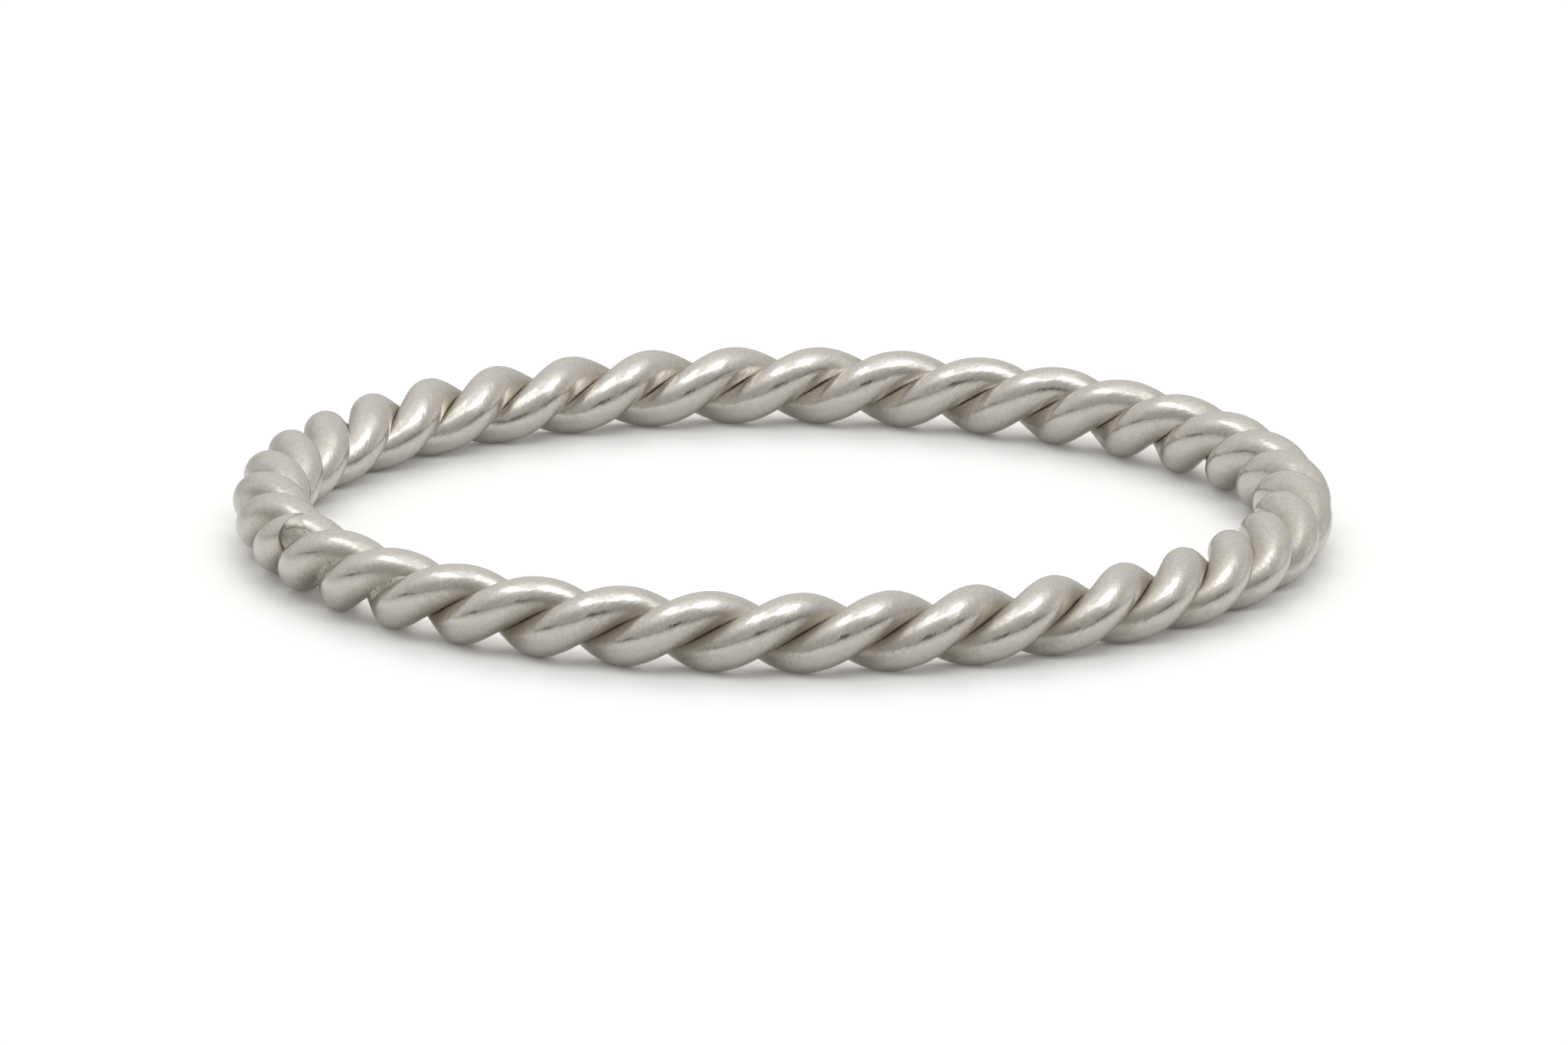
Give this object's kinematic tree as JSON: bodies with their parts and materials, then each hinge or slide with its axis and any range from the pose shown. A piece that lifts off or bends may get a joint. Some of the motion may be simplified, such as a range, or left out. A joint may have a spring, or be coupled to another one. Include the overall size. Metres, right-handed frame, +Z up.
{
  "type": "rope twist ring",
  "caption": "Plain finger ring of twisted round silver wires with a rope look and a small soldered joint, lying flat on its side.",
  "frame": {"origin": "on the surface that the ring lies on, below the middle of the finger hole", "axes": "+Z up along the axis of the finger hole, -Y towards the front of the ring, +X to its right; the soldered joint is on the front left, 67.5 degrees from -Y towards -X"},
  "size_m": [0.0211, 0.0211, 0.0015],
  "materials": {
    "silver": "polished sterling silver, soft shine with fine scuffs, duller grey-green silver solder in the grooves at the joint"
  },
  "bodies": {
    "root": {"rope_band": "silver"}
  },
  "joints": []
}
